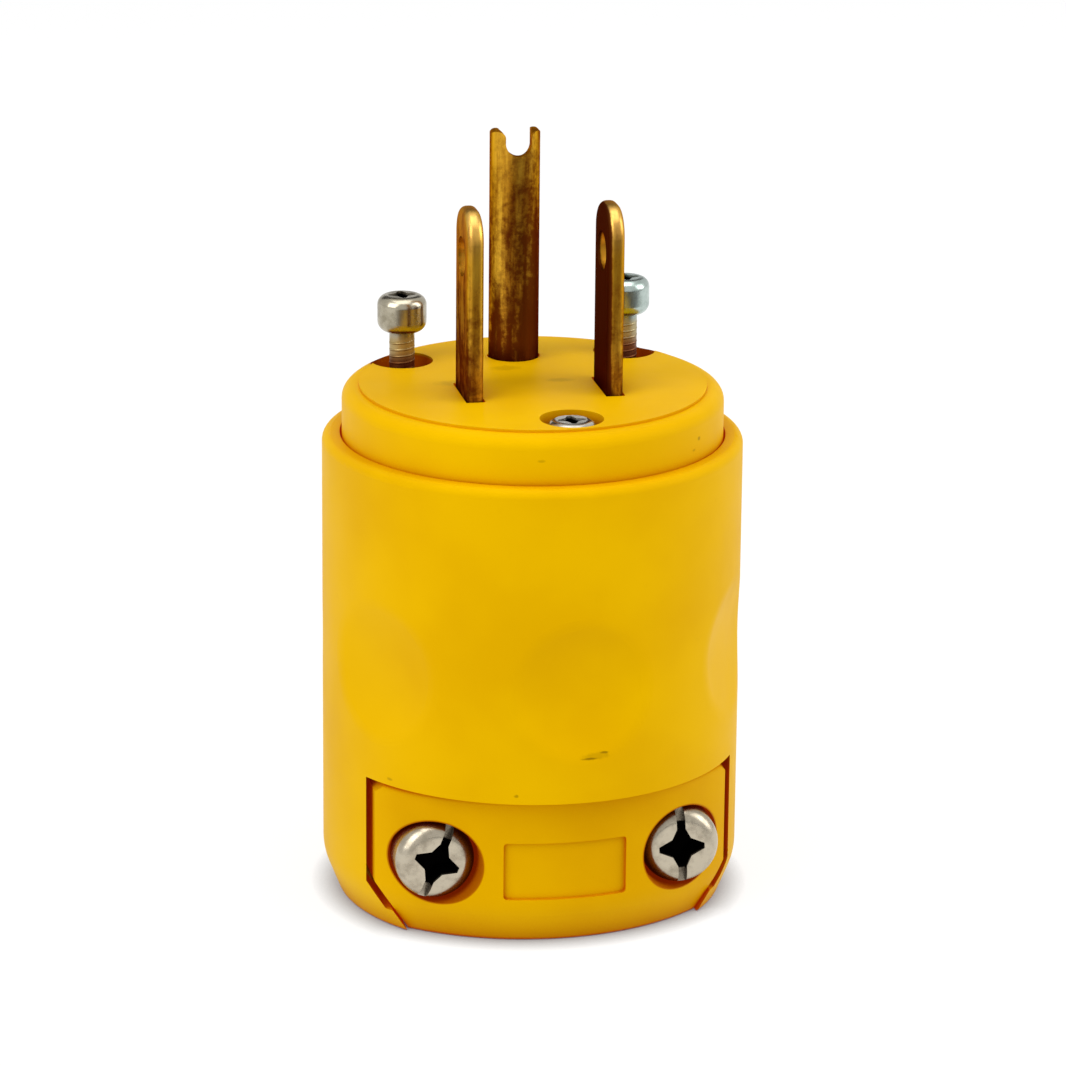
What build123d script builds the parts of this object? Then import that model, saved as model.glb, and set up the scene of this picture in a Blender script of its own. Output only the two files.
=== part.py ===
from build123d import *
import os
from math import atan2, degrees, hypot, sqrt

# Rewirable straight-blade grounding plug, standing on its cord end with the blades up.
# Millimetres, +Z up. The origin lies on the plug's axis, at the foot of the cover.
# The blades stand side by side along X, the ground pin is towards +Y and the cord clamp faces -Y.

# Blades and ground pin
BLADE_SPACING = 12.7
BLADE_WIDTH = 6.35
BLADE_THICKNESS = 1.5
BLADE_REACH = 17.0
BLADE_TIP_RADIUS = 2.7
BLADE_EDGE_ROUND = 0.6
BLADE_HOLE_DIAMETER = 3.6
BLADE_HOLE_FROM_TIP = 4.4
BLADE_LINE_OFFSET = 2.7
GROUND_SPACING = 11.9
GROUND_DIAMETER = 4.6
GROUND_SHEET = 0.8
GROUND_BACK = 0.4
GROUND_REACH = 21.3
GROUND_TIP_RADIUS = 0.5
GROUND_NOTCH_WIDTH = 2.4
GROUND_NOTCH_DEPTH = 2.2

# Terminal ends of the blades and of the ground pin
SHOULDER_WIDTH = 10.6
SHOULDER_HEIGHT = 1.5
LEG_WIDTH = 7.0
LEG_FOOT_GAP = 0.3
TERMINAL_SCREW_DIAMETER = 3.4
TERMINAL_SCREW_PAST_LEG = 1.4
TERMINAL_HEAD_DIAMETER = 6.4
TERMINAL_HEAD_HEIGHT = 1.9
TERMINAL_SLOT_WIDTH = 1.0
TERMINAL_SLOT_DEPTH = 0.8
PRESSURE_PLATE_SIZE = 7.0
PRESSURE_PLATE_THICKNESS = 1.0
PRESSURE_PLATE_CORNER = 0.7
WIRE_GAP = 0.8
WIRE_HOLE_DIAMETER = 4.6

# Face body and terminal block
FACE_BODY_HEIGHT = 11.3
FACE_ROUND = 1.2
FACE_RIM_WIDTH = 1.55
FACE_DISC_HEIGHT = 0.25
BLOCK_HEIGHT = 9.5
BLOCK_FLOOR = 1.8
POCKET_WIDTH = 9.0

# Cover
COVER_RADIUS = 19.05
COVER_WALL = 1.6
NECK_HEIGHT = 4.6
RIM_ROUND = 0.8
CHAMBER_WALL = 3.4
CHAMBER_HEIGHT = 10.3
FLOOR_THICKNESS = 2.5
FOOT_INSET = 1.45
FOOT_ROUND = 0.5
TAPER_HEIGHT = 3.6
TAPER_ROUND = 5.0
DIMPLE_COUNT = 6
DIMPLE_TURN = 3
DIMPLE_DEPTH = 1.0
DIMPLE_SCOOP_RADIUS = 20.0
DIMPLE_HEIGHT = 24.5
DIMPLE_EDGE_ROUND = 3.5

# Assembly screws, their pillars and their threaded inserts
REAR_SCREW_INSET = 3.43
REAR_SCREW_ANGLE = 41.2
FRONT_SCREW_INSET = 4.81
FRONT_SCREW_ANGLE = -85.4
ASSEMBLY_HEAD_DIAMETER = 4.5
ASSEMBLY_HEAD_HEIGHT = 3.4
ASSEMBLY_HEAD_ROUND = 0.9
ASSEMBLY_HEAD_UNDER_ROUND = 1.0
ASSEMBLY_NECK_DIAMETER = 2.3
ASSEMBLY_NECK_LENGTH = 9.0
ASSEMBLY_THREAD_DIAMETER = 2.84
ASSEMBLY_SCREW_LENGTH = 27.0
ASSEMBLY_RECESS_SPAN = 2.5
ASSEMBLY_RECESS_DEPTH = 1.3
COUNTERBORE_DIAMETER = 5.7
COUNTERBORE_DEPTH = 3.5
LEFT_SCREW_OUT = 6.3
RIGHT_SCREW_OUT = 7.1
PILLAR_DIAMETER = 6.6
INSERT_DIAMETER = 4.6
INSERT_LENGTH = 6.0
INSERT_RECESS = 0.2

# Cord clamp
CORD_DIAMETER = 16.6
CORD_MOUTH_FLARE = 1.2
CLAMP_HEIGHT = 13.9
CLAMP_TRAVEL = 4.6
JAW_SIDE_INSET = 2.9
JAW_CORNER_WIDTH = 3.0
JAW_CORNER_HEIGHT = 4.4
JAW_TOP_BEVEL = 0.8
JAW_BACK = 3.5
JAW_FRONT_INSET = 1.95
JAW_FLATTENING = 2.75
JAW_EDGE_ROUND = 0.5
NOTCH_LIP_HEIGHT = 1.9
GRIP_RIB_COUNT = 2
GRIP_RIB_WIDTH = 1.6
GRIP_RIB_HEIGHT = 0.8
PANEL_WIDTH = 11.2
PANEL_HEIGHT = 5.4
PANEL_DEPTH = 0.35
PANEL_CENTRE_HEIGHT = 7.1
CLAMP_SCREW_FROM_CORD = 2.95
CLAMP_SCREW_HEIGHT = 7.45
CLAMP_SEAT_DEPTH = 6.8
CLAMP_SCREW_DIAMETER = 3.5
CLAMP_SCREW_GRIP = 4.2
CLAMP_HEAD_DIAMETER = 7.2
CLAMP_HEAD_HEIGHT = 3.9
CLAMP_HEAD_ROUND = 1.3
CLAMP_HEAD_UNDER_ROUND = 0.2
CLAMP_COUNTERBORE_DIAMETER = 7.8
CLAMP_RECESS_SPAN = 4.2
CLAMP_RECESS_DEPTH = 2.2
CLAMP_SLOT_WIDTH = 0.8
CLAMP_SLOT_DEPTH = 1.0
LEFT_CLAMP_SCREW_TURN = -22
RIGHT_CLAMP_SCREW_TURN = 3

# Drive recesses, as shares of their span, and their draft
RECESS_TIP_SHARE = 0.12
RECESS_WAIST_SHARE = 0.58
RECESS_DRAFT = 7

# Clearances
COVER_PLAY = 0.2
SLOT_GAP = 0.12
POCKET_GAP = 0.15
SCREW_GAP = 0.3
THREAD_FIT = 0.04
INSERT_FIT = 0.02
JAW_SIDE_GAP = 0.65
JAW_FOOT_GAP = 0.2
JAW_TOP_GAP = 0.3
JAW_STOP_GAP = 0.4

# Heights, from the foot up
floor_bottom = CLAMP_HEIGHT + JAW_TOP_GAP
floor_top = floor_bottom + FLOOR_THICKNESS
ledge_z = floor_top + CHAMBER_HEIGHT
block_top = ledge_z + BLOCK_HEIGHT
face_z = block_top + FACE_BODY_HEIGHT
rim_z = face_z - NECK_HEIGHT
shoulder_z = block_top - SHOULDER_HEIGHT
pocket_floor = ledge_z + BLOCK_FLOOR
terminal_z = (pocket_floor + block_top) / 2
seat_z = face_z - COUNTERBORE_DEPTH

# Radii and places in plan
bore_radius = COVER_RADIUS - COVER_WALL
neck_radius = bore_radius - COVER_PLAY
chamber_radius = COVER_RADIUS - CHAMBER_WALL
blade_y = -BLADE_LINE_OFFSET
ground_y = blade_y + GROUND_SPACING
ground_front = ground_y - GROUND_DIAMETER / 2
jaw_front = COVER_RADIUS - JAW_FRONT_INSET
jaw_front_radius = COVER_RADIUS + JAW_FLATTENING
jaw_centre_y = jaw_front_radius - jaw_front
saddle_y = CLAMP_TRAVEL + JAW_STOP_GAP - JAW_BACK
clamp_seat = jaw_front - CLAMP_SEAT_DEPTH
clamp_screw_x = CORD_DIAMETER / 2 + CLAMP_SCREW_FROM_CORD
clamp_screw_length = clamp_seat + saddle_y + CLAMP_SCREW_GRIP
screws_out = {"left": LEFT_SCREW_OUT, "right": RIGHT_SCREW_OUT, "front": 0}


def in_neck(inset, angle):
    """Place in plan at a distance inside the neck's side, at an angle from +X."""
    spot = Vector(neck_radius - inset, 0).rotate(Axis.Z, angle)
    return spot.X, spot.Y


screw_places = {
    "left": in_neck(REAR_SCREW_INSET, 180 - REAR_SCREW_ANGLE),
    "right": in_neck(REAR_SCREW_INSET, REAR_SCREW_ANGLE),
    "front": in_neck(FRONT_SCREW_INSET, FRONT_SCREW_ANGLE),
}


def nearest_corner(face, x, y):
    return face.vertices().sort_by_distance((x, y, 0))[0]


def post(radius, bottom, top, place=(0, 0)):
    """Upright round bar between two heights."""
    return Pos(place[0], place[1], (bottom + top) / 2) * Cylinder(radius, top - bottom)


def block(x_span, y_span, z_span):
    """Box given by its two limits along each axis."""
    spans = (x_span, y_span, z_span)
    middle = [(low + high) / 2 for low, high in spans]
    return Pos(*middle) * Box(*[high - low for low, high in spans])


def turned(points):
    """Solid turned about Z from (radius, height) points."""
    return revolve(Plane.XZ * make_face(Polyline(*points, close=True)), Axis.Z)


def outer_form(side, top, top_round):
    """Turned shape with a straight side and the tapered foot."""
    foot = side - FOOT_INSET
    points = [(0, 0), (foot, 0), (side, TAPER_HEIGHT), (side, top), (0, top)]
    outline = make_face(Polyline(*points, close=True))
    outline = fillet(nearest_corner(outline, side, TAPER_HEIGHT), TAPER_ROUND)
    outline = fillet(nearest_corner(outline, foot, 0), FOOT_ROUND)
    outline = fillet(nearest_corner(outline, side, top), top_round)
    return revolve(Plane.XZ * outline, Axis.Z)


def jaw_outline(gap_side, gap_top):
    """Front view of the clamp jaw, grown by a gap; with a gap it runs on below the foot."""
    half = COVER_RADIUS - JAW_SIDE_INSET + gap_side
    top = CLAMP_HEIGHT + gap_top
    slope = JAW_CORNER_WIDTH / JAW_CORNER_HEIGHT
    bend = JAW_CORNER_HEIGHT - gap_side * (hypot(1, slope) - 1) / slope
    bottom = -gap_side
    foot = half - slope * (bend - bottom)
    points = [(foot, bottom), (half, bend), (half, top)]
    points += [(-x, z) for x, z in reversed(points)]
    return make_face(Polyline(*points, close=True))


def along_y(outline, front, back):
    """Outline in the XZ plane carried from one Y to another."""
    return extrude(Plane.XZ.offset(-back) * outline, back - front)


def cord_passage(bottom, top):
    """Round way for the cord with a flared mouth at the foot."""
    bore = CORD_DIAMETER / 2
    mouth = bore + CORD_MOUTH_FLARE
    points = [(0, bottom), (mouth, bottom), (mouth, 0), (bore, CORD_MOUTH_FLARE), (bore, top), (0, top)]
    return turned(points)


def drive_recess(span, depth):
    """Four-pointed drive recess below the XY plane, narrowing downwards."""
    tip_half = span * RECESS_TIP_SHARE / 2
    waist = span * RECESS_WAIST_SHARE / 2
    corners = []
    for quarter in range(4):
        for x, y in ((span / 2, -tip_half), (span / 2, tip_half), (waist / sqrt(2), waist / sqrt(2))):
            corners.append(Vector(x, y).rotate(Axis.Z, 90 * quarter))
    return extrude(make_face(Polyline(*corners, close=True)), -depth, taper=RECESS_DRAFT)


def screw_head(diameter, height, top_round, under_round):
    """Head standing on the XY plane, rounded at its top edge and under it."""
    radius = diameter / 2
    outline = Pos(radius / 2, height / 2) * Rectangle(radius, height)
    outline = fillet(nearest_corner(outline, radius, height), top_round)
    outline = fillet(nearest_corner(outline, radius, 0), under_round)
    return revolve(Plane.XZ * outline, Axis.Z)


def dimpled(form):
    """Form with the finger dimples scooped out of its side, their edges softened."""
    scoop_y = DIMPLE_DEPTH - COVER_RADIUS - DIMPLE_SCOOP_RADIUS
    for number in range(DIMPLE_COUNT):
        scoop = Rot(0, 90, 0) * Cylinder(DIMPLE_SCOOP_RADIUS, COVER_RADIUS)
        turn = Rot(0, 0, DIMPLE_TURN + number * 360 / DIMPLE_COUNT)
        form -= turn * Pos(0, scoop_y, DIMPLE_HEIGHT) * scoop
    reach = sqrt(2 * DIMPLE_SCOOP_RADIUS * DIMPLE_DEPTH)
    limits = (DIMPLE_HEIGHT - reach, DIMPLE_HEIGHT + reach)
    return fillet(form.edges().filter_by_position(Axis.Z, *limits), DIMPLE_EDGE_ROUND)


def make_cover():
    shell = dimpled(outer_form(COVER_RADIUS, rim_z, RIM_ROUND))
    shell -= post(bore_radius, ledge_z, rim_z)
    hollow = post(chamber_radius, floor_top, ledge_z)
    for x, y in screw_places.values():
        half = PILLAR_DIAMETER / 2
        pillar = post(half, floor_top, ledge_z)
        pillar += block((0, COVER_RADIUS), (-half, half), (floor_top, ledge_z))
        hollow -= Pos(x, y) * Rot(0, 0, degrees(atan2(y, x))) * pillar
    shell -= hollow
    shell -= along_y(jaw_outline(JAW_FOOT_GAP, JAW_TOP_GAP), -COVER_RADIUS, saddle_y)
    notch = along_y(jaw_outline(JAW_SIDE_GAP, JAW_TOP_GAP), -COVER_RADIUS, saddle_y)
    shell -= notch - post(COVER_RADIUS, -JAW_SIDE_GAP, NOTCH_LIP_HEIGHT)
    shell -= cord_passage(-FOOT_ROUND, floor_top)
    insert_floor = ledge_z - INSERT_RECESS - INSERT_LENGTH
    screw_floor = seat_z - ASSEMBLY_SCREW_LENGTH - SCREW_GAP
    for place in screw_places.values():
        shell -= post(INSERT_DIAMETER / 2 + INSERT_FIT, insert_floor, ledge_z, place)
        shell -= post(ASSEMBLY_THREAD_DIAMETER / 2 + SCREW_GAP, screw_floor, insert_floor, place)
    reach = saddle_y + CLAMP_SCREW_GRIP + CLAMP_TRAVEL + JAW_STOP_GAP
    for x in (-clamp_screw_x, clamp_screw_x):
        hole = Pos(x, CLAMP_SCREW_HEIGHT) * Circle(CLAMP_SCREW_DIAMETER / 2 + SCREW_GAP)
        shell -= along_y(hole, saddle_y, reach)
    return shell


def make_face_body():
    body = post(neck_radius, block_top, face_z - FACE_DISC_HEIGHT)
    body = fillet(body.edges().group_by(Axis.Z)[-1], FACE_ROUND)
    body += post(neck_radius - FACE_RIM_WIDTH, face_z - FACE_DISC_HEIGHT, face_z)
    slot_x = BLADE_THICKNESS / 2 + SLOT_GAP
    slot_y = BLADE_WIDTH / 2 + SLOT_GAP
    for x in (-BLADE_SPACING / 2, BLADE_SPACING / 2):
        body -= block((x - slot_x, x + slot_x), (blade_y - slot_y, blade_y + slot_y), (block_top, face_z))
    half = GROUND_DIAMETER / 2 + SLOT_GAP
    back = ground_y + GROUND_BACK + SLOT_GAP
    pin_hole = post(half, block_top, face_z, (0, ground_y))
    body -= pin_hole & block((-half, half), (ground_y - half, back), (block_top, face_z))
    for place in screw_places.values():
        body -= post(COUNTERBORE_DIAMETER / 2, seat_z, face_z, place)
        body -= post(ASSEMBLY_THREAD_DIAMETER / 2 + SCREW_GAP, block_top, seat_z, place)
    return body


def terminal_pocket(leg_inner, leg_thickness):
    """Space for one terminal, opening along +X, with the leg's inner face at the given distance."""
    half = POCKET_WIDTH / 2
    back = leg_inner - POCKET_GAP
    pocket = block((back, COVER_RADIUS), (-half, half), (pocket_floor, block_top))
    wings = SHOULDER_WIDTH / 2 + POCKET_GAP
    front = leg_inner + leg_thickness + POCKET_GAP
    pocket += block((back, front), (-wings, wings), (shoulder_z, block_top))
    relief_depth = TERMINAL_SCREW_PAST_LEG + SCREW_GAP
    relief = Rot(0, 90, 0) * Cylinder(TERMINAL_SCREW_DIAMETER / 2 + SCREW_GAP, relief_depth)
    pocket += Pos(leg_inner - relief_depth / 2, 0, terminal_z) * relief
    wire_x = leg_inner + leg_thickness + WIRE_HOLE_DIAMETER / 2
    return pocket + post(WIRE_HOLE_DIAMETER / 2, ledge_z, pocket_floor, (wire_x, 0))


def to_terminal(name):
    """Place that turns a terminal made along +X from the axis to its own side."""
    places = {
        "hot": Pos(0, blade_y),
        "neutral": Pos(0, blade_y) * Rot(0, 0, 180),
        "ground": Rot(0, 0, 90),
    }
    return places[name]


blade_inner = BLADE_SPACING / 2 - BLADE_THICKNESS / 2
terminal_legs = {
    "hot": (blade_inner, BLADE_THICKNESS),
    "neutral": (blade_inner, BLADE_THICKNESS),
    "ground": (ground_front, GROUND_SHEET),
}


def make_terminal_block():
    body = post(neck_radius, ledge_z, block_top)
    for name, (inner, thickness) in terminal_legs.items():
        body -= to_terminal(name) * terminal_pocket(inner, thickness)
    for place in screw_places.values():
        body -= post(ASSEMBLY_THREAD_DIAMETER / 2 + SCREW_GAP, ledge_z, block_top, place)
    return body


def leg_outline():
    """Flat terminal end seen along its screw: shoulders under the face body, leg with a tapped hole."""
    foot = pocket_floor + LEG_FOOT_GAP
    shape = Pos(0, (shoulder_z + block_top) / 2) * Rectangle(SHOULDER_WIDTH, SHOULDER_HEIGHT)
    shape += Pos(0, (foot + shoulder_z) / 2) * Rectangle(LEG_WIDTH, shoulder_z - foot)
    return shape - Pos(0, terminal_z) * Circle(TERMINAL_SCREW_DIAMETER / 2 + THREAD_FIT)


def make_blade(name):
    tip = face_z + BLADE_REACH
    prong = Pos(0, (block_top + tip) / 2) * Rectangle(BLADE_WIDTH, tip - block_top)
    prong = fillet(prong.vertices().group_by(Axis.Y)[-1], BLADE_TIP_RADIUS)
    prong -= Pos(0, tip - BLADE_HOLE_FROM_TIP) * Circle(BLADE_HOLE_DIAMETER / 2)
    inner, thickness = terminal_legs[name]
    prong = extrude(Plane.YZ.offset(inner) * prong, thickness)
    rim = [
        edge for face in (prong.faces().sort_by(Axis.X)[0], prong.faces().sort_by(Axis.X)[-1])
        for edge in face.outer_wire().edges() if edge.center().Z > block_top
    ]
    prong = fillet(rim, BLADE_EDGE_ROUND)
    return to_terminal(name) * (prong + extrude(Plane.YZ.offset(inner) * leg_outline(), thickness))


def make_ground_pin():
    tip = face_z + GROUND_REACH
    length = tip - block_top
    radius = GROUND_DIAMETER / 2
    section = Circle(radius) - Circle(radius - GROUND_SHEET)
    section -= Pos(0, GROUND_BACK + radius / 2) * Rectangle(GROUND_DIAMETER, radius)
    pin = extrude(Plane.XY.offset(block_top) * Pos(0, ground_y) * section, length)
    notch_half = GROUND_NOTCH_WIDTH / 2
    notch_floor = tip - GROUND_NOTCH_DEPTH + notch_half
    front_view = Pos(0, (block_top + tip) / 2) * Rectangle(GROUND_DIAMETER, length)
    front_view -= Pos(0, notch_floor) * Circle(notch_half)
    front_view -= Pos(0, (notch_floor + tip) / 2) * Rectangle(GROUND_NOTCH_WIDTH, tip - notch_floor)
    front_view = fillet(front_view.vertices().group_by(Axis.Y)[-1], GROUND_TIP_RADIUS)
    pin &= along_y(front_view, ground_front, ground_front + GROUND_DIAMETER)
    leg = extrude(Plane.YZ.offset(ground_front) * leg_outline(), GROUND_SHEET)
    return pin + to_terminal("ground") * leg


def make_terminal_screw(name):
    inner, thickness = terminal_legs[name]
    shank = thickness + TERMINAL_SCREW_PAST_LEG + WIRE_GAP + PRESSURE_PLATE_THICKNESS
    head = post(TERMINAL_HEAD_DIAMETER / 2, 0, TERMINAL_HEAD_HEIGHT)
    slot = Box(TERMINAL_HEAD_DIAMETER, TERMINAL_SLOT_WIDTH, TERMINAL_SLOT_DEPTH)
    head -= Pos(0, 0, TERMINAL_HEAD_HEIGHT - TERMINAL_SLOT_DEPTH / 2) * slot
    screw = head + post(TERMINAL_SCREW_DIAMETER / 2, -shank, 0)
    under_head = inner + thickness + WIRE_GAP + PRESSURE_PLATE_THICKNESS
    return to_terminal(name) * Pos(under_head, 0, terminal_z) * Rot(0, 90, 0) * screw


def make_pressure_plate(name):
    inner, thickness = terminal_legs[name]
    plate = RectangleRounded(PRESSURE_PLATE_SIZE, PRESSURE_PLATE_SIZE, PRESSURE_PLATE_CORNER)
    plate -= Circle(TERMINAL_SCREW_DIAMETER / 2 + THREAD_FIT)
    near = inner + thickness + WIRE_GAP
    plate = extrude(Plane.YZ.offset(near) * plate, PRESSURE_PLATE_THICKNESS)
    return to_terminal(name) * Pos(0, 0, terminal_z) * plate


def make_assembly_screw(name):
    x, y = screw_places[name]
    rounds = (ASSEMBLY_HEAD_ROUND, ASSEMBLY_HEAD_UNDER_ROUND)
    head = screw_head(ASSEMBLY_HEAD_DIAMETER, ASSEMBLY_HEAD_HEIGHT, *rounds)
    head -= Pos(0, 0, ASSEMBLY_HEAD_HEIGHT) * drive_recess(ASSEMBLY_RECESS_SPAN, ASSEMBLY_RECESS_DEPTH)
    screw = head + post(ASSEMBLY_NECK_DIAMETER / 2, -ASSEMBLY_NECK_LENGTH, 0)
    screw += post(ASSEMBLY_THREAD_DIAMETER / 2, -ASSEMBLY_SCREW_LENGTH, -ASSEMBLY_NECK_LENGTH)
    return Pos(x, y, seat_z + screws_out[name]) * screw


def make_insert(name):
    place = screw_places[name]
    top = ledge_z - INSERT_RECESS
    sleeve = post(INSERT_DIAMETER / 2, top - INSERT_LENGTH, top, place)
    return sleeve - post(ASSEMBLY_THREAD_DIAMETER / 2 + THREAD_FIT, top - INSERT_LENGTH, top, place)


def make_jaw():
    jaw = Pos(0, jaw_centre_y) * outer_form(jaw_front_radius, CLAMP_HEIGHT, JAW_EDGE_ROUND)
    outline = jaw_outline(0, 0)
    outline = chamfer(outline.vertices().group_by(Axis.Y)[-1], JAW_TOP_BEVEL)
    jaw &= along_y(outline, -COVER_RADIUS, -JAW_BACK)
    jaw -= cord_passage(-FOOT_ROUND, CLAMP_HEIGHT)
    rib_pitch = CLAMP_HEIGHT / (GRIP_RIB_COUNT + 1)
    for number in range(GRIP_RIB_COUNT + 1):
        low = number * rib_pitch + GRIP_RIB_WIDTH / 2
        high = (number + 1) * rib_pitch - GRIP_RIB_WIDTH / 2
        jaw -= post(CORD_DIAMETER / 2 + GRIP_RIB_HEIGHT, low, high)
    for x in (-clamp_screw_x, clamp_screw_x):
        centre = Pos(x, CLAMP_SCREW_HEIGHT)
        jaw -= along_y(centre * Circle(CLAMP_COUNTERBORE_DIAMETER / 2), -COVER_RADIUS, -clamp_seat)
        jaw -= along_y(centre * Circle(CLAMP_SCREW_DIAMETER / 2 + SCREW_GAP), -clamp_seat, -JAW_BACK)
    panel = Pos(0, PANEL_CENTRE_HEIGHT) * RectangleRounded(PANEL_WIDTH, PANEL_HEIGHT, PANEL_DEPTH)
    panel_floor = post(jaw_front_radius - PANEL_DEPTH, 0, CLAMP_HEIGHT, (0, jaw_centre_y))
    sunk = along_y(panel, -COVER_RADIUS, 0) - panel_floor
    return jaw - sunk


def make_clamp_screw(x, turn):
    rounds = (CLAMP_HEAD_ROUND, CLAMP_HEAD_UNDER_ROUND)
    head = screw_head(CLAMP_HEAD_DIAMETER, CLAMP_HEAD_HEIGHT, *rounds)
    head -= Pos(0, 0, CLAMP_HEAD_HEIGHT) * drive_recess(CLAMP_RECESS_SPAN, CLAMP_RECESS_DEPTH)
    slot = Box(CLAMP_SLOT_WIDTH, CLAMP_HEAD_DIAMETER, CLAMP_SLOT_DEPTH)
    head -= Pos(0, 0, CLAMP_HEAD_HEIGHT - CLAMP_SLOT_DEPTH / 2) * slot
    screw = head + post(CLAMP_SCREW_DIAMETER / 2, -clamp_screw_length, 0)
    return Pos(x, -clamp_seat, CLAMP_SCREW_HEIGHT) * Rot(90, 0, 0) * Rot(0, 0, turn) * screw


parts = {
    "cover": make_cover(),
    "face_body": make_face_body(),
    "terminal_block": make_terminal_block(),
    "hot_blade": make_blade("hot"),
    "neutral_blade": make_blade("neutral"),
    "ground_pin": make_ground_pin(),
    "cord_clamp_jaw": make_jaw(),
    "left_clamp_screw": make_clamp_screw(-clamp_screw_x, LEFT_CLAMP_SCREW_TURN),
    "right_clamp_screw": make_clamp_screw(clamp_screw_x, RIGHT_CLAMP_SCREW_TURN),
}
for name in terminal_legs:
    parts[name + "_terminal_screw"] = make_terminal_screw(name)
    parts[name + "_pressure_plate"] = make_pressure_plate(name)
for name in screw_places:
    parts[name + "_assembly_screw"] = make_assembly_screw(name)
    parts[name + "_insert"] = make_insert(name)

os.makedirs("parts", exist_ok=True)
for node, solid in parts.items():
    export_step(solid, "parts/" + node + ".step")
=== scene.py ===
import math

import bpy
from mathutils import Matrix, Vector


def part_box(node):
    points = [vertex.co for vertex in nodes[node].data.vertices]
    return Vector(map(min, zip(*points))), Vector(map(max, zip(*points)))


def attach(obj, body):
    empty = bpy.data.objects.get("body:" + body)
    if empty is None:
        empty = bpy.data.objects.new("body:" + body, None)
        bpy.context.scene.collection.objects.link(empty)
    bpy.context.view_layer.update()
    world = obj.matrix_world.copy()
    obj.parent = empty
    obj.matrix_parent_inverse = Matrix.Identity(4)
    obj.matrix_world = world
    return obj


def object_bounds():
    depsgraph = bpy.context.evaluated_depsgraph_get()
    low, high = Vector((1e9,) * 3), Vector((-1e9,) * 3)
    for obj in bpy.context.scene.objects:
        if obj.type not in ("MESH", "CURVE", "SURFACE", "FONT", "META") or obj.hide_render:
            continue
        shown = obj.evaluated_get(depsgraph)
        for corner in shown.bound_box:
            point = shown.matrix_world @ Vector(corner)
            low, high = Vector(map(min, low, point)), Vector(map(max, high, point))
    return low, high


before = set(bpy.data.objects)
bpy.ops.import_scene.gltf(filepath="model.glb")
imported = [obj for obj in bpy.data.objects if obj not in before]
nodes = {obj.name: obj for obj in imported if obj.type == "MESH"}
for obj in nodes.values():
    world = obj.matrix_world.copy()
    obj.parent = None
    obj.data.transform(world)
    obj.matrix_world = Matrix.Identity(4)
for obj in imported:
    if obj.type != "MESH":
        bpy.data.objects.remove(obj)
cad_low, cad_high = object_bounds()

MM = 0.001
UP = (0.0, 0.0, 1.0)
FRONT = (0.0, -1.0, 0.0)
SIDES = ("left", "right")
FACE_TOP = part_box("face_body")[1].z

# Camera, from the photograph's perspective; angles in degrees
IMAGE_SIZE = 1066
AZIMUTH = -11.5
ELEVATION = 17.4
ROLL = 0.52
DISTANCE = 450 * MM
FOCAL_PIXELS = 4943
AIM_RIGHT = 0.13 * MM
AIM_HEIGHT = 33.48 * MM
SENSOR = 36.0
CLIP_START = 0.01
CLIP_END = 20

# Floor: share that takes light and shadow, glow of the rest, reach of the painted shade that darkens the
# glow at the object's foot
FLOOR_HALF = 3.0
FLOOR_COLOUR = (0.92, 0.92, 0.92, 1)
FLOOR_SHADOW = 0.22
FLOOR_GLOW = 1.06
FOOT_SHADE = 2.5 * MM

# Dark cards: one lies before the object, one stands behind it
CARD_COLOUR = (0.03, 0.028, 0.026, 1)
CARD_LEVEL = cad_low.z + 1 * MM
CARDS = {
    "card_before": [(-0.13, -0.8, CARD_LEVEL), (0.9, -0.8, CARD_LEVEL),
                    (0.9, -0.1, CARD_LEVEL), (-0.13, -0.1, CARD_LEVEL)],
    "card_behind": [(-0.35, 0.6, 0.26), (0.35, 0.6, 0.26), (0.35, 0.6, 0.7), (-0.35, 0.6, 0.7)],
}

# Light: strength of the world on the object, and each lamp's place, size and watts
WORLD_STRENGTH = 0.53
LIGHT_AIM = (0, 0, 35 * MM)
LAMPS = {
    "key": ((-0.55, -0.3, 0.45), (0.5, 0.6), 2.9),
    "fill": ((0.6, -0.2, 0.35), (0.4, 0.5), 2.1),
    "top": ((0.0, -0.05, 0.7), (0.6, 0.6), 2.3),
}

# Plastics: main and warmer tone; colour of smudges, and of the painted shade in hollows and in crevices
COVER_YELLOW = ("#E1AF00", "#D9A500")
FACE_YELLOW = ("#E5B300", "#DDA900")
CLAMP_YELLOW = ("#DDA700", "#D49C00")
IVORY = ("#D9D3C0", "#CFC7B0")
GREEN = ("#1F7A3C", "#186630")
# smudge colour, then the painted shade colours for hollows and for crevices
YELLOW_DIRT_AND_SHADE = ("#B07E00", "#B84E00", "#B03400")
IVORY_DIRT_AND_SHADE = ("#B5AB8E", "#8A8068", "#4A4030")
GREEN_DIRT_AND_SHADE = ("#155A2A", "#0C3A1A", "#04180A")
# painted glow in crevices and wells, standing in for light that passes through the plastic
YELLOW_PAINTED_GLOW = "#6E1A00"
NO_GLOW = "#000000"
# painted shade inside the screw counterbores
WELL_SHADE_COLOUR = "#862A00"
SCUFF_COLOUR = "#5A3A06"
HOLLOW_REACH = 4.0 * MM
CREVICE_REACH = 1.0 * MM
PEEL_HEIGHT = 0.05 * MM

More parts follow.
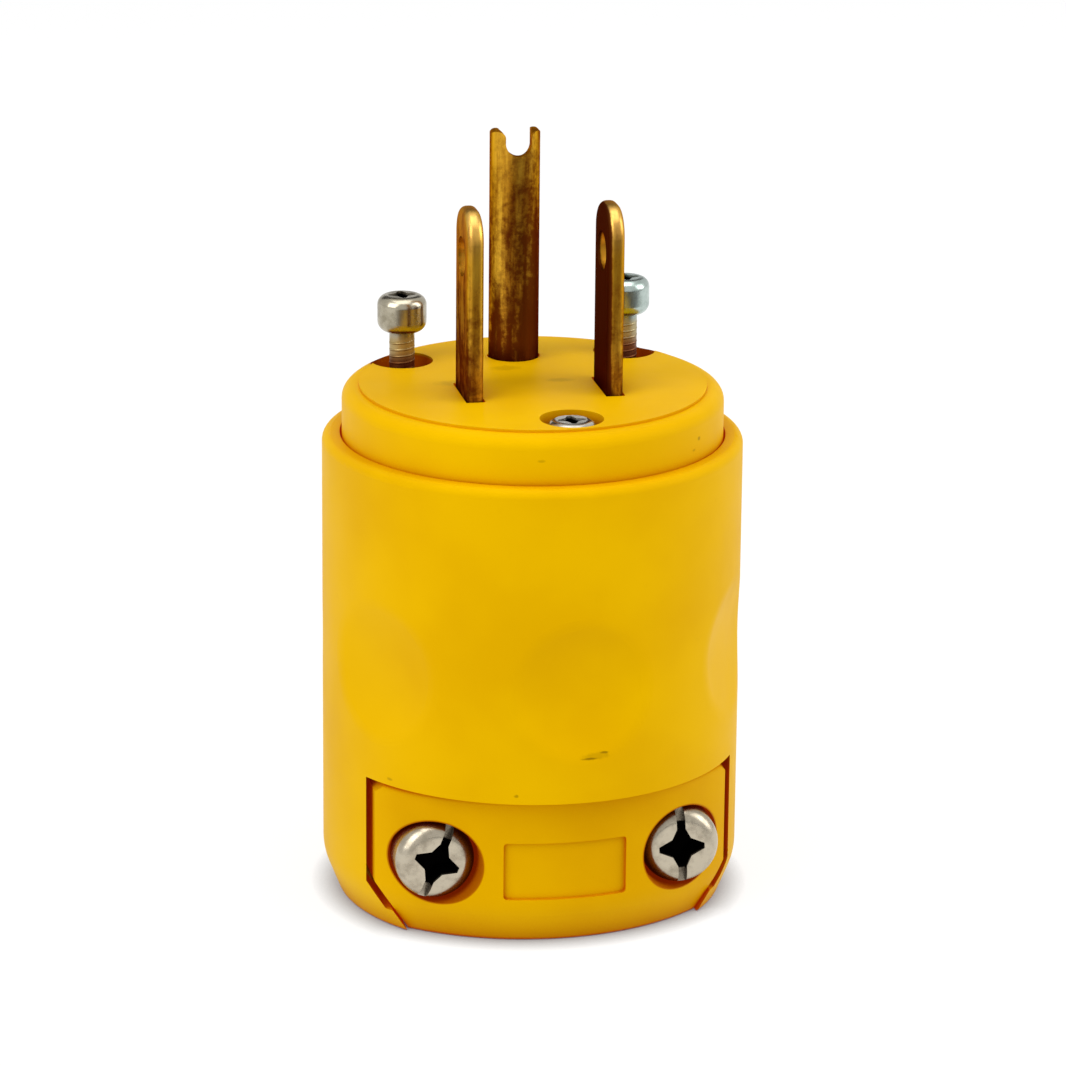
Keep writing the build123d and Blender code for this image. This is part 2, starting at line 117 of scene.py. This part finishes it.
# Wear marks: centre and half size in mm, share of full strength
COVER_MARKS = (
    ((1.6, -18.97, 18.3), (0.95, 1.0, 0.13), 0.6),
    ((2.95, -18.8, 18.78), (0.5, 1.0, 0.14), 0.6),
    ((2.2, -18.9, 18.5), (1.6, 1.0, 0.4), 0.22),
    ((-15.1, -11.6, 14.8), (0.25, 1.0, 0.18), 0.35),
    ((-4.9, -18.4, 15.0), (0.25, 1.0, 0.18), 0.45),
)
FACE_MARKS = (
    ((12.7, -11.7, 45.2), (0.25, 0.6, 0.25), 0.45),
    ((12.1, -12.3, 44.3), (0.3, 0.6, 0.15), 0.3),
    ((-2.6, -17.05, 45.4), (0.4, 0.6, 0.15), 0.28),
    ((-7.0, 0.6, 47.8), (2.2, 1.2, 0.6), 0.22),
    ((-1.6, 4.9, 47.8), (1.8, 1.0, 0.6), 0.22),
    ((2.5, 0.1, 47.8), (1.6, 0.8, 0.6), 0.2),
)

# Brass: tones, and the heights between which they change
BRASS_TONES = ("#DEAA34", "#B8821E")
BRASS_PALE = "#E2C084"
BRASS_TARNISH = "#551B06"
# colour of the painted shade on one side of a piece
BRASS_SHADE = "#2A0803"
BRASS_BASE_BAND = "#300A04"
BRASS_TINT = "#B07838"
TARNISH_HEIGHTS = (FACE_TOP - 0.8 * MM, FACE_TOP + 20.2 * MM)
PALE_HEIGHTS = (FACE_TOP + 12.2 * MM, FACE_TOP + 18.2 * MM)
BASE_BAND_STARTS = (FACE_TOP - 1.6 * MM, FACE_TOP - 0.2 * MM)
BASE_BAND_ENDS = (FACE_TOP, FACE_TOP + 2.0 * MM)
BRASS_SCRATCH = 0.06 * MM

# Brass pieces: tarnish more or less than usual, paleness of the tip, and how dark the painted shade on one
# side is
BLADE_DULLED = -0.1
BLADE_PALE_TIP = 0.45
BLADE_SHADE_REACH = (0.12 * MM, 0.4 * MM)
BLADE_SHADE_SHARES = {"hot_blade": 0.5, "neutral_blade": 0.1}
PIN_DULLED = 0.05
PIN_SHADE_SIDE = (-1.3 * MM, 0.4 * MM, 0.0, 0.11)
TERMINAL_DULLED = -0.2

# Steel: bright and clouded tone of each kind of screw, painted shade in crevices and in the drive recess,
# and the scratches' height
ASSEMBLY_STEEL = {
    # left screw: darker, warmer tones, a painted warm reflection and shade on its head
    "left": ("#B2AA96", "#908874"),
    "right": ("#B7C4BE", "#98A7A0"),
    "front": ("#D6D2C6", "#B4AFA2"),
}
CLAMP_STEEL = ("#BEB4A0", "#9C9280")
TERMINAL_STEEL = ("#D0D0CC", "#9A9A94")
STEEL_CREVICE_SHADE = "#24140A"
STEEL_SHADE_REACH = 1.6 * MM
RECESS_SHADE_COLOUR = "#060504"
STEEL_SCRATCH = 0.03 * MM

# Drive recesses, painted dark as shade: mouth radius and depth
ASSEMBLY_RECESS = (1.25 * MM, 1.3 * MM)
CLAMP_RECESS = (2.2 * MM, 2.2 * MM)

# Counterbores that show their walls, painted with shade and glow inside: radius and depth
FACE_WELL = (2.9 * MM, 3.5 * MM)
CLAMP_WELL = (3.93 * MM, 12 * MM)

# Soft edges of a hole's mask: below its mouth, past its depth and outside its radius
MOUTH_EDGE = (0.03 * MM, 0.3 * MM)
DEPTH_EDGE = (0.1 * MM, 0.3 * MM)
RADIUS_EDGE = 0.15 * MM

# Screws that stand out: head and neck, and where the neck's painted reflection and painted shade start and
# end below the head
HEAD_HEIGHT = 3.4 * MM
NECK_RADIUS = 1.15 * MM
NECK_LENGTH = 8.2 * MM
# neck colours: a painted reflection of the yellow plastic, then painted shade lower down in the well
NECK_REFLECTION = "#A88834"
NECK_SHADE_COLOUR = "#6A2808"
NECK_STARTS = (9.5 * MM, 8.0 * MM)
REFLECTION_ENDS = (1.0 * MM, 0.0)
SHADE_ENDS = (3.0 * MM, 1.4 * MM)

# Thread on those necks
THREAD_PITCH = 0.62 * MM
THREAD_HEIGHT = 0.03 * MM
THREAD_ROOT = 0.02 * MM
THREAD_HALF_WIDTH = 0.3 * THREAD_PITCH
THREAD_STOP = 0.3 * MM
THREAD_STEPS = 28

OCCLUSION_SAMPLES = 3


def rgb(text):
    """Linear colour from a hex code."""
    values = [int(text[i:i + 2], 16) / 255 for i in (1, 3, 5)]
    return tuple(v / 12.92 if v <= 0.04045 else ((v + 0.055) / 1.055) ** 2.4 for v in values) + (1.0,)


class Graph:
    """One node material, with short calls for the nodes that it needs."""

    def __init__(self, name):
        self.material = bpy.data.materials.new(name)
        self.material.use_nodes = True
        self.tree = self.material.node_tree
        self.shader = self.tree.nodes["Principled BSDF"]
        self.place = self.tree.nodes.new("ShaderNodeTexCoord").outputs["Object"]

    def node(self, kind, **settings):
        made = self.tree.nodes.new("ShaderNode" + kind)
        for key, value in settings.items():
            setattr(made, key, value)
        return made

    def feed(self, socket, value):
        """Links a socket to another, or sets it to a constant."""
        if isinstance(value, bpy.types.NodeSocket):
            self.tree.links.new(value, socket)
        else:
            socket.default_value = value

    def vector(self, operation, first, second=None, output="Vector"):
        made = self.node("VectorMath", operation=operation)
        self.feed(made.inputs[0], first)
        if second is not None:
            self.feed(made.inputs[1], second)
        return made.outputs[output]

    def noise(self, scale, detail, roughness=0.5, distortion=0.0):
        """Noise with one scale, or with a scale of its own along each axis."""
        made = self.node("TexNoise")
        if isinstance(scale, tuple):
            self.feed(made.inputs["Vector"], self.vector("MULTIPLY", self.place, scale))
            made.inputs["Scale"].default_value = 1.0
        else:
            self.feed(made.inputs["Vector"], self.place)
            made.inputs["Scale"].default_value = scale
        made.inputs["Detail"].default_value = detail
        made.inputs["Roughness"].default_value = roughness
        made.inputs["Distortion"].default_value = distortion
        return made.outputs["Fac"]

    def ramp(self, value, low, high, start=0.0, end=1.0):
        """Smooth step from a start to an end while a value goes from low to high."""
        made = self.node("MapRange", interpolation_type="SMOOTHSTEP")
        for socket, number in zip(made.inputs[1:5], (low, high, start, end)):
            socket.default_value = number
        self.feed(made.inputs[0], value)
        return made.outputs[0]

    def math(self, operation, first, second):
        made = self.node("Math", operation=operation)
        self.feed(made.inputs[0], first)
        self.feed(made.inputs[1], second)
        return made.outputs[0]

    def add(self, first, second):
        return self.math("ADD", first, second)

    def times(self, first, second):
        return self.math("MULTIPLY", first, second)

    def mix(self, share, first, second):
        """Blend of two colours, each a hex code or a socket."""
        made = self.node("Mix", data_type="RGBA")
        self.feed(made.inputs[0], share)
        for socket, colour in ((made.inputs[6], first), (made.inputs[7], second)):
            self.feed(socket, rgb(colour) if isinstance(colour, str) else colour)
        return made.outputs[2]

    def axis(self, name):
        made = self.node("SeparateXYZ")
        self.feed(made.inputs[0], self.place)
        return made.outputs[name]

    def mark(self, centre, half, strength):
        """Ragged spot of wear, fading from its centre."""
        offset = self.vector("SUBTRACT", self.place, tuple(v * MM for v in centre))
        offset = self.vector("DIVIDE", offset, tuple(v * MM for v in half))
        reach = self.vector("LENGTH", offset, output="Value")
        ragged = self.add(reach, self.times(self.noise(scale=2200, detail=4, roughness=0.7), 1.1))
        return self.ramp(ragged, 0.9, 1.6, strength, 0.0)

    def inside(self, mouth, outward, radius, depth):
        """1 inside a round hole, from its mouth to its depth, and 0 elsewhere."""
        offset = self.vector("SUBTRACT", self.place, mouth)
        below = self.vector("DOT_PRODUCT", offset, tuple(-v for v in outward), output="Value")
        across = self.vector("LENGTH", self.vector("CROSS_PRODUCT", offset, outward), output="Value")
        past = self.ramp(below, *(depth + edge for edge in DEPTH_EDGE), 1.0, 0.0)
        along = self.times(self.ramp(below, *MOUTH_EDGE), past)
        return self.times(along, self.ramp(across, radius, radius + RADIUS_EDGE, 1.0, 0.0))

    def occlusion(self, reach):
        """1 in the open and 0 in a crevice."""
        made = self.node("AmbientOcclusion", samples=OCCLUSION_SAMPLES)
        made.inputs["Distance"].default_value = reach
        return made.outputs["AO"]

    def bump(self, height, strength, distance):
        made = self.node("Bump")
        made.inputs["Strength"].default_value = strength
        made.inputs["Distance"].default_value = distance
        self.feed(made.inputs["Height"], height)
        return made.outputs["Normal"]

    def finish(self, colour, roughness, normal, metallic=0.0, specular=0.5):
        self.feed(self.shader.inputs["Base Color"], colour)
        self.feed(self.shader.inputs["Roughness"], roughness)
        self.feed(self.shader.inputs["Normal"], normal)
        self.shader.inputs["Metallic"].default_value = metallic
        self.shader.inputs["Specular IOR Level"].default_value = specular
        return self.material


def plastic(name, tones, dirt_and_shade, glow=None, marks=(), wells=()):
    """Moulded plastic with smudges, scuffs and orange peel; painted shade in hollows, crevices and wells,
    with a painted glow there if given.
    """
    g = Graph(name)
    main, warm = tones
    smudged, hollow_shade, crevice = dirt_and_shade
    tone = g.mix(g.ramp(g.noise(scale=70, detail=3), 0.35, 0.7), main, warm)
    specks = g.ramp(g.noise(scale=420, detail=5, roughness=0.7), 0.6, 0.78)
    tone = g.mix(g.times(specks, 0.35), tone, warm)
    smudge = g.ramp(g.noise(scale=160, detail=6, roughness=0.65, distortion=0.6), 0.66, 0.82)
    tone = g.mix(g.times(smudge, 0.2), tone, smudged)
    for mark in marks:
        tone = g.mix(g.mark(*mark), tone, SCUFF_COLOUR)
    # painted shade: red-brown darkening in hollows and crevices, wherever occlusion is
    tone = g.mix(g.ramp(g.occlusion(HOLLOW_REACH), 0.1, 0.6, 0.8, 0.0), tone, hollow_shade)
    gap = g.occlusion(CREVICE_REACH)
    tone = g.mix(g.ramp(gap, 0.1, 0.5, 0.9, 0.0), tone, crevice)
    # painted glow: emission in crevices and wells, standing in for light through the plastic
    painted_glow = g.ramp(gap, 0.12, 0.6, 1.0, 0.0)
    for well in wells:
        # painted shade and painted glow inside the counterbore
        inside = g.inside(*well)
        tone = g.mix(g.times(inside, 0.75), tone, WELL_SHADE_COLOUR)
        painted_glow = g.math("MAXIMUM", painted_glow, g.times(inside, 0.42))
    rough = g.add(0.4, g.times(g.noise(scale=240, detail=4), 0.16))
    peel = g.bump(g.noise(scale=1700, detail=2), 0.1, PEEL_HEIGHT)
    g.shader.inputs["Specular Tint"].default_value = rgb(main)
    if glow:
        g.feed(g.shader.inputs["Emission Color"], g.mix(painted_glow, NO_GLOW, glow))
        g.shader.inputs["Emission Strength"].default_value = 1.0
    return g.finish(tone, rough, peel, specular=0.05)


def brass(name, dulled, shaded_side=None, pale_tip=0.0):
    """Dull stamped brass: streaks along Z, more tarnish towards the face, darker where it goes in, painted
    shade on one side.
    """
    g = Graph(name)
    height = g.axis("Z")
    streaks = g.noise(scale=(1100, 1100, 120), detail=3, roughness=0.55)
    blotch = g.noise(scale=380, detail=6, roughness=0.7, distortion=0.5)
    grain = g.noise(scale=1500, detail=3, roughness=0.7)
    patchy = g.add(g.times(streaks, 0.5), g.times(blotch, 0.5))
    patchy = g.add(patchy, g.ramp(height, *TARNISH_HEIGHTS, 0.2 + dulled, dulled - 0.06))
    patchy = g.add(patchy, g.ramp(grain, 0.35, 0.65, -0.05, 0.05))
    # painted shade on one side of the piece, which also adds to the tarnish mask
    if shaded_side:
        side = g.ramp(g.axis("X"), *shaded_side)
        patchy = g.add(patchy, side)
    tarnish = g.ramp(patchy, 0.42, 0.78)
    tone = g.mix(g.ramp(streaks, 0.3, 0.7), *BRASS_TONES)
    if pale_tip:
        tone = g.mix(g.ramp(height, *PALE_HEIGHTS, 0.0, pale_tip), tone, BRASS_PALE)
    tone = g.mix(g.times(tarnish, 0.94), tone, BRASS_TARNISH)
    if shaded_side:
        tone = g.mix(side, tone, BRASS_SHADE)
    # darker band where the brass goes into the face
    base_band = g.times(g.ramp(height, *BASE_BAND_STARTS), g.ramp(height, *BASE_BAND_ENDS, 0.85, 0.0))
    tone = g.mix(g.times(base_band, g.ramp(blotch, 0.3, 0.55)), tone, BRASS_BASE_BAND)
    rough = g.add(0.36, g.times(tarnish, 0.18))
    scratches = g.bump(g.add(streaks, g.times(blotch, 0.6)), 0.2, BRASS_SCRATCH)
    g.shader.inputs["Specular Tint"].default_value = rgb(BRASS_TINT)
    return g.finish(tone, rough, scratches, metallic=1.0)


def steel(name, tones, drive=None, neck=None):
    """Scratched plated steel: painted shade in crevices, a drive recess painted dark as shade, a duller
    neck with a painted reflection of the yellow plastic, painted shade lower down.
    """
    g = Graph(name)
    cloud = g.noise(scale=620, detail=5, roughness=0.65)
    tone = g.mix(g.ramp(cloud, 0.4, 0.72), *tones)
    # painted shade: darker in crevices, wherever occlusion is
    tone = g.mix(g.ramp(g.occlusion(STEEL_SHADE_REACH), 0.35, 0.9, 0.88, 0.0), tone, STEEL_CREVICE_SHADE)
    rough = g.times(cloud, 0.5)
    if drive:
        # painted shade: the drive recess is painted dark
        recess_shade = g.inside(*drive)
        tone = g.mix(recess_shade, tone, RECESS_SHADE_COLOUR)
        rough = g.add(rough, g.times(recess_shade, 0.4))
    if neck:
        height = g.axis("Z")
        bare = g.ramp(height, *(neck - depth for depth in NECK_STARTS))
        # painted reflection of the yellow plastic on the neck, where the neck is also rougher
        dull_and_reflection = g.times(bare, g.ramp(height, *(neck - depth for depth in REFLECTION_ENDS), 0.65, 0.0))
        tone = g.mix(dull_and_reflection, tone, NECK_REFLECTION)
        # painted shade lower down the neck, in the well
        neck_shade = g.times(bare, g.ramp(height, *(neck - depth for depth in SHADE_ENDS), 0.85, 0.0))
        tone = g.mix(neck_shade, tone, NECK_SHADE_COLOUR)
        rough = g.add(rough, g.times(dull_and_reflection, 0.3))
    scratch = g.bump(g.noise(scale=(900, 5200, 2400), detail=3), 0.1, STEEL_SCRATCH)
    return g.finish(tone, rough, scratch, metallic=1.0)


def dress(material, *names):
    """Gives CAD nodes one material."""
    for name in names:
        slots = nodes[name].data.materials
        slots.clear()
        slots.append(material)


def screw_mouth(name, outward, level=None):
    """Middle of a screw head's outer face, or the point of its axis at a level, from the node's box."""
    low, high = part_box(name)
    middle = (low + high) / 2
    for index, way in enumerate(outward):
        if way:
            head = high[index] if way > 0 else low[index]
            middle[index] = head if level is None else level
    return tuple(middle)


def dress_plastics():
    face_wells, clamp_wells = [], []
    for side in SIDES:
        face_wells.append((screw_mouth(side + "_assembly_screw", UP, FACE_TOP), UP, *FACE_WELL))
        clamp_wells.append((screw_mouth(side + "_clamp_screw", FRONT, cad_low.y), FRONT, *CLAMP_WELL))
    yellow = (YELLOW_DIRT_AND_SHADE, YELLOW_PAINTED_GLOW)
    dress(plastic("cover_yellow", COVER_YELLOW, *yellow, COVER_MARKS), "cover")
    dress(plastic("face_yellow", FACE_YELLOW, *yellow, FACE_MARKS, face_wells), "face_body")
    dress(plastic("clamp_yellow", CLAMP_YELLOW, *yellow, wells=clamp_wells), "cord_clamp_jaw")
    dress(plastic("block_ivory", IVORY, IVORY_DIRT_AND_SHADE), "terminal_block")
    dress(plastic("terminal_green", GREEN, GREEN_DIRT_AND_SHADE), "ground_terminal_screw")


def dress_brass():
    for blade, share in BLADE_SHADE_SHARES.items():
        left_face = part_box(blade)[0].x
        shaded_side = (*(left_face + reach for reach in BLADE_SHADE_REACH), share, 0.0)
        dress(brass(blade + "_brass", BLADE_DULLED, shaded_side, BLADE_PALE_TIP), blade)
    dress(brass("pin_brass", PIN_DULLED, PIN_SHADE_SIDE), "ground_pin")
    dress(brass("terminal_brass", TERMINAL_DULLED), "hot_terminal_screw", "hot_pressure_plate",
          "ground_pressure_plate", "left_insert", "right_insert", "front_insert")


def dress_steel():
    for side, tones in ASSEMBLY_STEEL.items():
        screw = side + "_assembly_screw"
        mouth = screw_mouth(screw, UP)
        neck = mouth[2] - HEAD_HEIGHT if side in SIDES else None
        dress(steel(screw + "_steel", tones, (mouth, UP, *ASSEMBLY_RECESS), neck), screw)
    for side in SIDES:
        screw = side + "_clamp_screw"
        drive = (screw_mouth(screw, FRONT), FRONT, *CLAMP_RECESS)
        dress(steel(screw + "_steel", CLAMP_STEEL, drive), screw)
    dress(steel("terminal_steel", TERMINAL_STEEL), "neutral_terminal_screw", "neutral_pressure_plate")


def link(thing):
    bpy.context.scene.collection.objects.link(thing)
    return thing


def make_thread(screw):
    """Fine helical ridge round the neck of a screw that stands out."""
    x, y, top = screw_mouth(screw, UP)
    bottom = top - HEAD_HEIGHT - NECK_LENGTH
    steps = int((NECK_LENGTH - THREAD_STOP) / THREAD_PITCH * THREAD_STEPS)
    points, faces = [], []
    for step in range(steps + 1):
        angle = 2 * math.pi * step / THREAD_STEPS
        z = bottom + THREAD_PITCH * step / THREAD_STEPS
        fade = min(1.0, step / THREAD_STEPS, (steps - step) / THREAD_STEPS)
        crest = (THREAD_HEIGHT * fade, 0.0)
        for out, rise in ((-THREAD_ROOT, -THREAD_HALF_WIDTH), crest, (-THREAD_ROOT, THREAD_HALF_WIDTH)):
            radius = NECK_RADIUS + out
            points.append((x + radius * math.cos(angle), y + radius * math.sin(angle), z + rise))
    for step in range(steps):
        a, b = 3 * step, 3 * step + 3
        faces += [(a, b, b + 1, a + 1), (a + 1, b + 1, b + 2, a + 2), (a + 2, b + 2, b, a)]
    faces += [(0, 1, 2), (3 * steps + 2, 3 * steps + 1, 3 * steps)]
    mesh = bpy.data.meshes.new(screw + "_thread")
    mesh.from_pydata(points, [], faces)
    for polygon in mesh.polygons:
        polygon.use_smooth = True
    mesh.materials.append(nodes[screw].data.materials[0])
    ridge = link(bpy.data.objects.new(screw + "_thread", mesh))
    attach(ridge, "plug")


def make_plane(name, corners, material):
    mesh = bpy.data.meshes.new(name)
    mesh.from_pydata(corners, [], [(0, 1, 2, 3)])
    mesh.materials.append(material)
    plane = link(bpy.data.objects.new(name, mesh))
    return plane


def make_floor():
    """White floor, most of it a plain white glow darkened at the object's foot as a painted contact
    shadow, so that only a soft shadow shows on it.
    """
    material = bpy.data.materials.new("floor_white")
    material.use_nodes = True
    tree = material.node_tree
    tree.nodes.clear()
    matte = tree.nodes.new("ShaderNodeBsdfDiffuse")
    matte.inputs["Color"].default_value = FLOOR_COLOUR
    # painted contact shadow: the glow darkens close to the object's foot
    painted_foot_shade = tree.nodes.new("ShaderNodeAmbientOcclusion")
    painted_foot_shade.samples = OCCLUSION_SAMPLES
    painted_foot_shade.inputs["Distance"].default_value = FOOT_SHADE
    glow = tree.nodes.new("ShaderNodeEmission")
    glow.inputs["Strength"].default_value = FLOOR_GLOW
    tree.links.new(painted_foot_shade.outputs["Color"], glow.inputs["Color"])
    share = tree.nodes.new("ShaderNodeMixShader")
    share.inputs[0].default_value = FLOOR_SHADOW
    tree.links.new(glow.outputs[0], share.inputs[1])
    tree.links.new(matte.outputs[0], share.inputs[2])
    out = tree.nodes.new("ShaderNodeOutputMaterial")
    tree.links.new(share.outputs[0], out.inputs[0])
    spread = ((-1, -1), (1, -1), (1, 1), (-1, 1))
    make_plane("floor", [(x * FLOOR_HALF, y * FLOOR_HALF, cad_low.z) for x, y in spread], material)


def make_dark_cards():
    """Dark studio cards out of the picture, seen only as reflections in the metal."""
    material = bpy.data.materials.new("card_dark")
    material.use_nodes = True
    shader = material.node_tree.nodes["Principled BSDF"]
    shader.inputs["Base Color"].default_value = CARD_COLOUR
    shader.inputs["Roughness"].default_value = 1.0
    for name, corners in CARDS.items():
        card = make_plane(name, corners, material)
        card.visible_camera = False
        card.visible_diffuse = False
        card.visible_shadow = False


def make_world():
    """White to the camera and in reflections, softer for the light that falls on the object."""
    world = bpy.data.worlds.new("studio")
    bpy.context.scene.world = world
    world.use_nodes = True
    tree = world.node_tree
    tree.nodes.clear()
    rays = tree.nodes.new("ShaderNodeLightPath")
    seen = rays.outputs["Is Camera Ray"]
    for kind in ("Is Glossy Ray", "Is Transmission Ray"):
        either = tree.nodes.new("ShaderNodeMath")
        either.operation = "MAXIMUM"
        tree.links.new(seen, either.inputs[0])
        tree.links.new(rays.outputs[kind], either.inputs[1])
        seen = either.outputs[0]
    strength = tree.nodes.new("ShaderNodeMapRange")
    strength.inputs["To Min"].default_value = WORLD_STRENGTH
    strength.inputs["To Max"].default_value = 1.0
    tree.links.new(seen, strength.inputs["Value"])
    background = tree.nodes.new("ShaderNodeBackground")
    tree.links.new(strength.outputs["Result"], background.inputs["Strength"])
    out = tree.nodes.new("ShaderNodeOutputWorld")
    tree.links.new(background.outputs[0], out.inputs[0])


def make_camera():
    azimuth, elevation, roll = (math.radians(v) for v in (AZIMUTH, ELEVATION, ROLL))
    flat = math.cos(elevation)
    back = Vector((math.sin(azimuth) * flat, -math.cos(azimuth) * flat, math.sin(elevation)))
    level = Vector((math.cos(azimuth), math.sin(azimuth), 0))
    upright = back.cross(level)
    right = level * math.cos(roll) + upright * math.sin(roll)
    up = upright * math.cos(roll) - level * math.sin(roll)
    data = bpy.data.cameras.new("camera")
    data.sensor_width = SENSOR
    data.lens = FOCAL_PIXELS / IMAGE_SIZE * SENSOR
    data.clip_start = CLIP_START
    data.clip_end = CLIP_END
    camera = link(bpy.data.objects.new("camera", data))
    eye = level * AIM_RIGHT + Vector((0, 0, AIM_HEIGHT)) + back * DISTANCE
    camera.matrix_world = Matrix.Translation(eye) @ Matrix((right, up, back)).transposed().to_4x4()
    bpy.context.scene.camera = camera


def make_lamps():
    for name, (place, size, watts) in LAMPS.items():
        data = bpy.data.lights.new(name, "AREA")
        data.shape = "RECTANGLE"
        data.size, data.size_y = size
        data.energy = watts
        lamp = link(bpy.data.objects.new(name, data))
        lamp.location = place
        lamp.rotation_euler = (Vector(LIGHT_AIM) - Vector(place)).to_track_quat("-Z", "Y").to_euler()


dress_plastics()
dress_brass()
dress_steel()
for side in SIDES:
    make_thread(side + "_assembly_screw")
make_floor()
make_dark_cards()
make_world()
make_camera()
make_lamps()
bpy.context.scene.view_settings.view_transform = "Standard"
